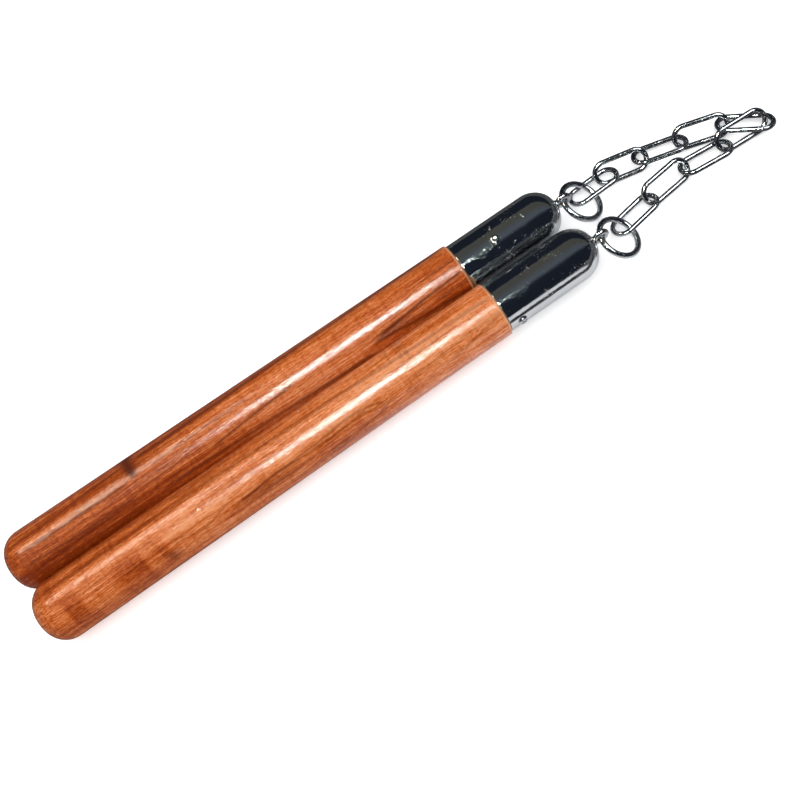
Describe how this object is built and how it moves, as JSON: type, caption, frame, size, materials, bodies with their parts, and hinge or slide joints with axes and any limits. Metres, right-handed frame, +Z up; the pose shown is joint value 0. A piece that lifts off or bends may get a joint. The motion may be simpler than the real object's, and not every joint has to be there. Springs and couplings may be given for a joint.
{
  "type": "nunchaku",
  "caption": "Pair of round tapered varnished wooden handles with domed chromed caps and ball-bearing swivel eyes, joined by rings and a chain of oval links.",
  "frame": {"origin": "middle of the underside of the whole pair as it lies on a flat surface", "axes": "+X from the butts of the handles towards the chain, +Y from the front handle to the back handle, +Z up"},
  "size_m": [0.4148, 0.0602, 0.03],
  "materials": {
    "varnished_wood": "orange-brown hardwood with dark streaks under a clear gloss varnish",
    "chrome": "bright mirror chrome plating",
    "bearing_steel": "plain ground bearing steel"
  },
  "bodies": {
    "front_handle": {"front_wood_handle": "varnished_wood", "front_cap": "chrome", "front_cap_screw_1": "chrome", "front_cap_screw_2": "chrome", "front_bearing_race": "bearing_steel", "front_bearing_ball_1": "bearing_steel", "front_bearing_ball_2": "bearing_steel", "front_bearing_ball_3": "bearing_steel", "front_bearing_ball_4": "bearing_steel", "front_bearing_ball_5": "bearing_steel", "front_bearing_ball_6": "bearing_steel"},
    "front_swivel": {"front_swivel_eye": "chrome"},
    "front_ring": {"front_ring": "chrome"},
    "link_9": {"chain_link_9": "chrome"},
    "link_8": {"chain_link_8": "chrome"},
    "link_7": {"chain_link_7": "chrome"},
    "link_6": {"chain_link_6": "chrome"},
    "link_5": {"chain_link_5": "chrome"},
    "link_4": {"chain_link_4": "chrome"},
    "link_3": {"chain_link_3": "chrome"},
    "link_2": {"chain_link_2": "chrome"},
    "link_1": {"chain_link_1": "chrome"},
    "back_ring": {"back_ring": "chrome"},
    "back_swivel": {"back_swivel_eye": "chrome"},
    "back_handle": {"back_wood_handle": "varnished_wood", "back_cap": "chrome", "back_cap_screw_1": "chrome", "back_cap_screw_2": "chrome", "back_bearing_race": "bearing_steel", "back_bearing_ball_1": "bearing_steel", "back_bearing_ball_2": "bearing_steel", "back_bearing_ball_3": "bearing_steel", "back_bearing_ball_4": "bearing_steel", "back_bearing_ball_5": "bearing_steel", "back_bearing_ball_6": "bearing_steel"}
  },
  "joints": [
    {"name": "front_swivel_spin", "type": "hinge", "parent": "front_handle", "child": "front_swivel", "pos_m": [0.10505, -0.01347, 0.01332], "axis": [1, 0.0056, -0.0056], "continuous": true},
    {"name": "front_ring_swing", "type": "hinge", "parent": "front_swivel", "child": "front_ring", "pos_m": [0.10505, -0.01347, 0.01332], "axis": [0, 1, 0], "range_deg": [-60, 60]},
    {"name": "link_9_swing", "type": "hinge", "parent": "front_ring", "child": "link_9", "pos_m": [0.11865, -0.00814, 0.00548], "axis": [0, 1, 0], "range_deg": [-70, 5]},
    {"name": "link_8_turn", "type": "hinge", "parent": "link_9", "child": "link_8", "pos_m": [0.13506, -0.00636, 0.00486], "axis": [0, 0, 1], "range_deg": [-70, 0]},
    {"name": "link_7_turn", "type": "hinge", "parent": "link_8", "child": "link_7", "pos_m": [0.16046, -0.00324, 0.00486], "axis": [0, 0, -1], "range_deg": [0, 70]},
    {"name": "link_6_turn", "type": "hinge", "parent": "link_7", "child": "link_6", "pos_m": [0.17798, -0.00423, 0.00486], "axis": [0, 0, 1], "range_deg": [-50, 0]},
    {"name": "link_5_turn", "type": "hinge", "parent": "link_6", "child": "link_5", "pos_m": [0.20434, -0.00798, 0.0044], "axis": [0, 0, -1], "range_deg": [0, 50]},
    {"name": "link_4_turn", "type": "hinge", "parent": "link_5", "child": "link_4", "pos_m": [0.18886, 0.00263, 0.00486], "axis": [0, 0, 1], "range_deg": [-45, 0]},
    {"name": "link_3_turn", "type": "hinge", "parent": "link_4", "child": "link_3", "pos_m": [0.1687, 0.00786, 0.00395], "axis": [0, 0, -1], "range_deg": [0, 35]},
    {"name": "link_2_turn", "type": "hinge", "parent": "link_3", "child": "link_2", "pos_m": [0.14928, 0.0126, 0.00486], "axis": [0, 0, 1], "range_deg": [-40, 0]},
    {"name": "link_1_turn", "type": "hinge", "parent": "link_2", "child": "link_1", "pos_m": [0.13345, 0.01595, 0.00395], "axis": [0, 0, -1], "range_deg": [0, 25]},
    {"name": "back_ring_turn", "type": "hinge", "parent": "link_1", "child": "back_ring", "pos_m": [0.11088, 0.02057, 0.00966], "axis": [0, 0, -1], "range_deg": [0, 30]},
    {"name": "back_swivel_swing", "type": "hinge", "parent": "back_ring", "child": "back_swivel", "pos_m": [0.10285, 0.01347, 0.01332], "axis": [0, 1, 0], "range_deg": [-55, 70]},
    {"name": "back_handle_spin", "type": "hinge", "parent": "back_swivel", "child": "back_handle", "pos_m": [0.10285, 0.01347, 0.01332], "axis": [1, -0.0056, -0.0056], "continuous": true}
  ]
}
